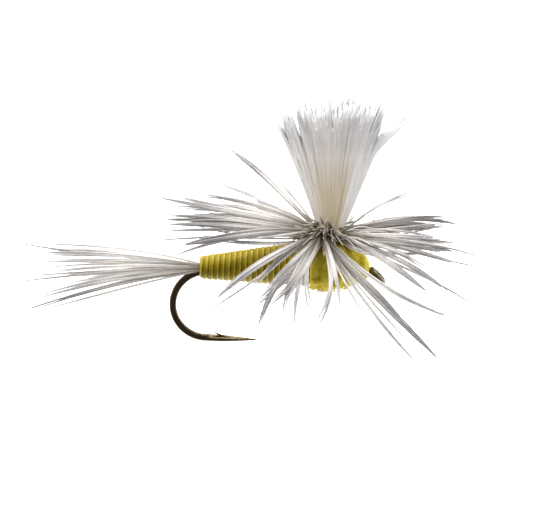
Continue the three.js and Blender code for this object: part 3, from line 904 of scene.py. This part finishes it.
FRONT_BARBS = [
    (29, -1, 8.8, 0.75, 4, 0.12), (31, -3, 8.8, 0.6, 2, 0.05), (34, -9, 8.6, 0.6, 2, 0.06),
    (55, -7, 7.8, 0.5, 4, 0.13), (30, -10, 8.6, 0.35, 2, 0.06), (28, -13, 8.8, 0.3, 4, 0.14),
    (-46, 3, 8.6, 0.15, 3, 0.09), (-27, -2, 9.9, 0.35, 1, 0.0), (-37, -3, 8.9, 0.25, 3, 0.09),
    (-29, -5, 9.8, 0.0, 1, 0.0), (-51, -4, 8.6, 0.4, 3, 0.1), (-41, -14, 8.8, 0.4, 3, 0.1),
    (-52, -13, 8.6, 0.25, 4, 0.14), (-28, -20, 10.2, 0.15, 1, 0.0), (50, 11, 8.8, 0.45, 2, 0.03),
]  # fmt: skip
# how many, then the ranges of azimuth, rise and length, of the fuller growth behind and
# between those
GROWTH = [
    (9, (130, 180), (2, 9), (7.0, 9.2)),
    (6, (180, 205), (2, 7), (7.0, 9.2)),
    (16, (50, 130), (-12, 0), (7.4, 9.0)),
    (18, (-30, 50), (-8, 4), (6.2, 8.2)),
    (4, (-140, -95), (-30, -16), (5.5, 8.0)),
    (9, (-40, 25), (-14, -4), (3.0, 5.0)),
]
# half width beyond which a clump closes like a leaf
LEAF_WIDTH = 0.12
HAZE_STRANDS = 34
NEAR_TANGLE_STRANDS = 60
ROUND_TANGLE_STRANDS = 70


def single_barbs(batch, rng):
    for root, barbs in ((REAR_ROOT, REAR_BARBS), (NEAR_ROOT, NEAR_BARBS), (FRONT_ROOT, FRONT_BARBS)):
        for azimuth, rise, length, bow, filaments, width in barbs:
            stray = (rng.uniform(-0.1, 0.1), rng.uniform(-0.15, 0.15), rng.uniform(-0.12, 0.12))
            start = root + np.array(stray)
            tip = root + heading(azimuth, rise) * length
            radius = SINGLE_BARB_RADIUS if filaments == 1 else 0.078
            forked = 0.0 if width > LEAF_WIDTH else rng.choice((0.0, 0.3, 0.6))
            clump(batch, rng, start, tip, bow, filaments, width, radius, forked)


def growth(batch, rng):
    for count, azimuths, rises, lengths in GROWTH:
        for _ in range(count):
            azimuth = rng.uniform(*azimuths)
            out = heading(azimuth, rng.uniform(*rises))
            root = on_post(0, rng.uniform(-0.3, 0.3)) + heading(azimuth, 0) * 0.75
            tip = root + out * rng.uniform(*lengths)
            bow, filaments, width = rng.uniform(-0.4, 0.4), rng.randint(1, 3), rng.uniform(0.06, 0.12)
            clump(batch, rng, root, tip, bow, filaments, width, 0.07)


def haze(batch, rng):
    """Pale short down over the front of the thorax."""
    for _ in range(HAZE_STRANDS):
        out = heading(rng.uniform(-60, 40), rng.uniform(-25, 5)) * rng.uniform(1.2, 3.6)
        stray = (rng.uniform(-0.2, 0.2), rng.uniform(-0.4, 0.4), rng.uniform(-0.2, 0.3))
        root = FRONT_ROOT + np.array(stray)
        path = [
            root + out * t + np.array([0, 0, 0.25 * math.sin(t * math.pi)])
            for t in (0, 0.25, 0.5, 0.75, 1)
        ]
        radii = [0.045, 0.045, 0.04, 0.035, 0.02]
        batch.strand(path, radii, shade=rng.uniform(0.8, 1), span=(0.25, 0.5))


def tangle(batch, rng):
    """Short barbs at the hub that lie every way: longer ones behind it and on its near
    side, and shorter ones all round, as dark as the quill."""
    steps = (0, 0.35, 0.7, 1)
    for _ in range(NEAR_TANGLE_STRANDS):
        azimuth = rng.uniform(170, 290)
        root = on_post(-0.15, rng.uniform(-0.2, 0.95)) + heading(azimuth, 0) * rng.uniform(0.75, 1.0)
        out = heading(azimuth + rng.uniform(-25, 25), rng.uniform(-45, 35)) * rng.uniform(0.8, 2.4)
        path = [root + out * t for t in steps]
        batch.strand(path, [0.05, 0.06, 0.05, 0.02], shade=rng.uniform(0.5, 1), span=(0.04, 0.24))
    for _ in range(ROUND_TANGLE_STRANDS):
        azimuth = rng.uniform(0, 360)
        root = on_post(-0.25, rng.uniform(-0.35, 0.5)) + heading(azimuth, 0) * rng.uniform(0.5, 0.95)
        out = heading(azimuth + rng.uniform(-45, 45), rng.uniform(-35, 25)) * rng.uniform(0.8, 1.8)
        path = [root + out * t for t in steps]
        batch.strand(path, [0.06, 0.07, 0.06, 0.02], shade=rng.uniform(0.6, 1), span=(0.0, 0.12))


def hackle():
    rng = random.Random(5)
    batch = Batch()
    single_barbs(batch, rng)
    growth(batch, rng)
    haze(batch, rng)
    tangle(batch, rng)
    names = [n for n in frame["nodes"] if n.startswith("hackle_barbs")]
    return batch.build("hackle_fibres", HACKLE, names)


# ------------------------------------------------------------------ stage

# place and level of the light tent's stops, from straight behind the camera, 0, through
# the sides, to straight behind the object, 1
TENT_LEVELS = [(0.0, 0.05), (0.36, 0.06), (0.52, 1.0), (0.74, 1.0), (0.88, 0.4), (1.0, 0.15)]
TENT_STRENGTH = 2.65
SEEN_WHITE = 1.2
FLOOR_SIZE = 3.0
FLOOR_Z = -20 * MM
FLOOR_NEAR_EDGE = -2 * MM
LENS = 160
SENSOR = 36
VIEW_WIDTH = 35.7 * MM


def aim(place, target):
    return Vector(target - place).to_track_quat("-Z", "Y").to_euler()


def camera():
    target = np.array([-7.44, 0, 0.66 / math.cos(CAMERA_RISE)]) * MM
    place = target - VIEW_WIDTH * LENS / SENSOR * VIEW
    data = bpy.data.cameras.new("camera")
    data.lens = LENS
    data.sensor_width = SENSOR
    data.clip_start = 0.005
    data.clip_end = 20
    eye = bpy.data.objects.new("camera", data)
    bpy.context.scene.collection.objects.link(eye)
    eye.location = place
    eye.rotation_euler = aim(place, target)
    bpy.context.scene.camera = eye


def world():
    """A light tent: bright from the sides and above, dim straight behind the object and
    darkest round the camera, which itself sees plain white."""
    w = bpy.data.worlds.new("studio")
    w.use_nodes = True
    nodes, links = w.node_tree.nodes, w.node_tree.links
    where = nodes.new("ShaderNodeTexCoord")
    split = nodes.new("ShaderNodeSeparateXYZ")
    links.new(where.outputs["Generated"], split.inputs["Vector"])
    depth = nodes.new("ShaderNodeMapRange")
    depth.inputs["From Min"].default_value = -1
    links.new(split.outputs["Y"], depth.inputs["Value"])
    tent = nodes.new("ShaderNodeValToRGB")
    for place, _ in TENT_LEVELS[1:-1]:
        tent.color_ramp.elements.new(place)
    for stop, (_, level) in zip(tent.color_ramp.elements, TENT_LEVELS):
        stop.color = (level, level, level, 1)
    links.new(depth.outputs["Result"], tent.inputs["Fac"])
    bright = nodes.new("ShaderNodeMix")
    bright.data_type = "RGBA"
    bright.blend_type = "MULTIPLY"
    bright.inputs["Factor"].default_value = 1
    bright.inputs["B"].default_value = (TENT_STRENGTH, TENT_STRENGTH, TENT_STRENGTH, 1)
    links.new(tent.outputs["Color"], bright.inputs["A"])
    path = nodes.new("ShaderNodeLightPath")
    mix = nodes.new("ShaderNodeMix")
    mix.data_type = "RGBA"
    links.new(path.outputs["Is Camera Ray"], mix.inputs["Factor"])
    links.new(bright.outputs["Result"], mix.inputs["A"])
    mix.inputs["B"].default_value = (SEEN_WHITE, SEEN_WHITE, SEEN_WHITE, 1)
    links.new(mix.outputs["Result"], nodes["Background"].inputs["Color"])
    bpy.context.scene.world = w


def floor():
    m = Nodes("pale_floor", 0.9)
    m.colour(m.ramp(m.noise(0.05), [(0.3, (0.9, 0.9, 0.9)), (0.7, (0.93, 0.93, 0.93))]))
    m.shader.inputs["Emission Color"].default_value = (1, 1, 1, 1)
    m.shader.inputs["Emission Strength"].default_value = 0.6
    near, far = FLOOR_NEAR_EDGE, FLOOR_SIZE
    outline = ((-far, near), (far, near), (far, far), (-far, far))
    corners = [(x, y, FLOOR_Z) for x, y in outline]
    mesh = bpy.data.meshes.new("floor")
    mesh.from_pydata(corners, [], [(0, 1, 2, 3)])
    mesh.materials.append(m.material)
    ground = bpy.data.objects.new("floor", mesh)
    bpy.context.scene.collection.objects.link(ground)


def light(name, place, target, size, power):
    data = bpy.data.lights.new(name, "AREA")
    data.shape = "RECTANGLE"
    data.size, data.size_y = size
    data.energy = power
    lamp = bpy.data.objects.new(name, data)
    bpy.context.scene.collection.objects.link(lamp)
    lamp.location = place
    lamp.rotation_euler = aim(np.array(place), np.array(target))
    return lamp


def light_only(lamp, pieces):
    """Lets a lamp light nothing but these pieces."""
    lit = bpy.data.collections.new("hair_and_feather")
    for piece in pieces:
        lit.objects.link(piece)
    lamp.light_linking.receiver_collection = lit


# ------------------------------------------------------------------ the scene

camera()
world()
floor()
light("overhead", (-0.01, 0.02, 0.35), (-0.008, 0, 0), (0.4, 0.25), 1.2)
bpy.context.scene.view_settings.view_transform = "Standard"

hook()
abdomen()
thorax()
thorax_fuzz()
feathery = [tail(), wing_hair(), wing_tips(), hackle()]
wraps(
    "hackle_quill", 4, on_post(0, -0.38), on_post(0, 0.38), (0.8, 0.8), 0.09,
    STEM, ["hackle_stem"],
)  # fmt: skip
wraps(
    "post_thread", 10, on_post(0, -0.6), on_post(0, 0.5), (0.66, 0.62), 0.06,
    THREAD, ["post_base_wraps"],
)  # fmt: skip
wraps(
    "head_thread", 4, (-1.0, 0, SHANK_Z), (-0.62, 0, SHANK_Z), (0.44, 0.3), 0.06,
    THREAD, ["head_wraps", "whip_finish"],
)  # fmt: skip

fill = light("front_fill", (-0.05, -0.35, 0.12), (-0.008, 0, 0.002), (0.35, 0.3), 1.75)
light_only(fill, feathery)

# the CAD nodes that are kept, all hidden inside the body
for node, material, slot in (
    ("thread_base", THREAD, "thread"),
    ("tail_lashing", THREAD, "thread"),
    ("underbody", FLOSS, "floss"),
):
    frame["nodes"][node].data.materials.clear()
    frame["nodes"][node].data.materials.append(material)
